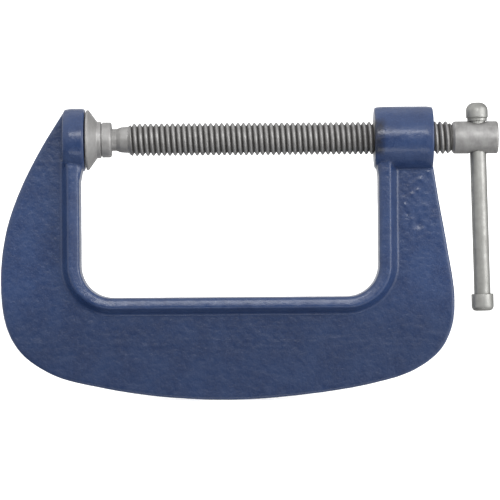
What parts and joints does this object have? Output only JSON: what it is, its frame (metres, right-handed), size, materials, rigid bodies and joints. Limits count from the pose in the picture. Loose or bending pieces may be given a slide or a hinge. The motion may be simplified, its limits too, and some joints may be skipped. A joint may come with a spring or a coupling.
{
  "type": "c clamp",
  "caption": "C clamp with a cast T-section frame, a threaded spindle with a sliding tommy bar, and a swivel shoe that closes on an anvil.",
  "frame": {"origin": "centre of the throat's floor, the flat inner face of the spine, midway between the two arms", "axes": "+X along the screw from the anvil to the tommy bar, +Y across the clamp's thickness, +Z from the spine up to the screw"},
  "size_m": [0.1931, 0.0244, 0.1147],
  "materials": {
    "frame_enamel": "glossy enamel over a cast surface",
    "spindle_steel": "rolled and turned",
    "shoe_steel": "satin",
    "bar_steel": "bright drawn"
  },
  "bodies": {
    "frame": {"frame": "frame_enamel"},
    "collar": {"shoe_collar": "shoe_steel"},
    "shoe": {"shoe": "shoe_steel"},
    "spindle": {"spindle": "spindle_steel"},
    "bar": {"tommy_bar": "bar_steel", "upper_knob": "bar_steel", "lower_knob": "bar_steel"}
  },
  "joints": [
    {"name": "screw_advance", "type": "slide", "parent": "frame", "child": "collar", "axis": [1, 0, 0], "range_m": [0, 0.1016]},
    {"name": "screw_turn", "type": "hinge", "parent": "collar", "child": "spindle", "pos_m": [-0.0486, 0, 0.06135], "axis": [1, 0, 0], "range_deg": [0, 17280]},
    {"name": "shoe_tilt", "type": "hinge", "parent": "collar", "child": "shoe", "pos_m": [-0.0486, 0, 0.06135], "axis": [0, 1, 0], "range_deg": [-2.5, 2.5]},
    {"name": "bar_slide", "type": "slide", "parent": "spindle", "child": "bar", "axis": [-0.0234, 0, 0.9997], "range_m": [0, 0.054]}
  ],
  "couplings": [
    {"joint": "screw_advance", "follows": "screw_turn", "m_per_rad": 0.00033688}
  ]
}
